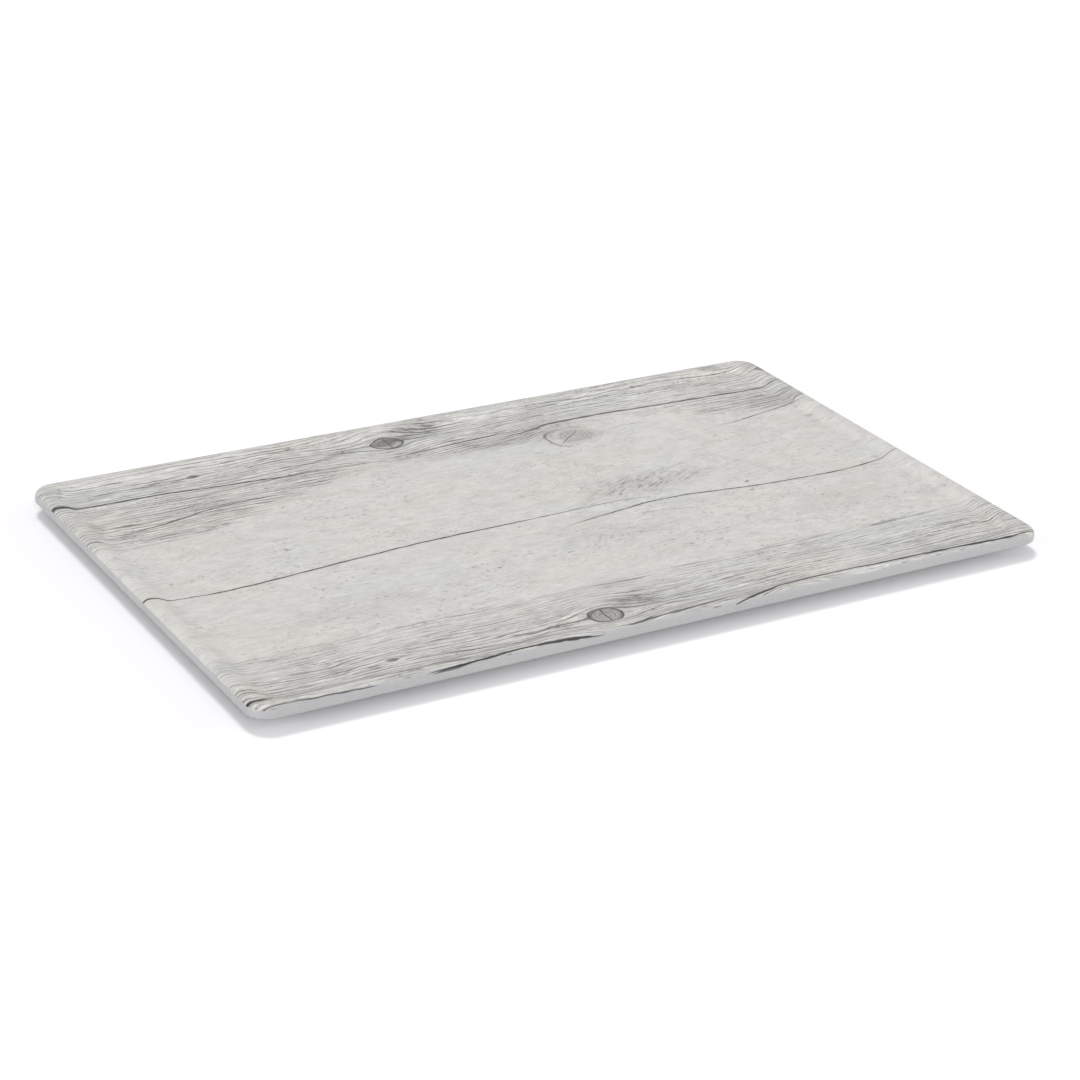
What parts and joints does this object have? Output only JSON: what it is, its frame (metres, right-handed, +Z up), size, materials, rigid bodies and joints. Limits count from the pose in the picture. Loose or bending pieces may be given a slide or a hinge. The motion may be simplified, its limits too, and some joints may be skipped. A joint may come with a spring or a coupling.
{
  "type": "serving tray",
  "caption": "Flat rectangular serving tray with rounded corners, a low rolled rim, a weathered-wood print and moulded feet with soft pads.",
  "frame": {"origin": "middle of the footprint, on the surface that the tray stands on", "axes": "+X along the long side, +Y from the front long side to the rear one, +Z up"},
  "size_m": [0.53, 0.325, 0.015],
  "materials": {
    "melamine": "moulded melamine, satin gloss, pale grey",
    "decor": "weathered grey wood print under a clear melamine glaze",
    "silicone": "matt grey silicone rubber"
  },
  "bodies": {
    "root": {"tray_body": "melamine", "decor_sheet": "decor", "foot_pad_front_left": "silicone", "foot_pad_front_right": "silicone", "foot_pad_rear_left": "silicone", "foot_pad_rear_right": "silicone"}
  },
  "joints": []
}
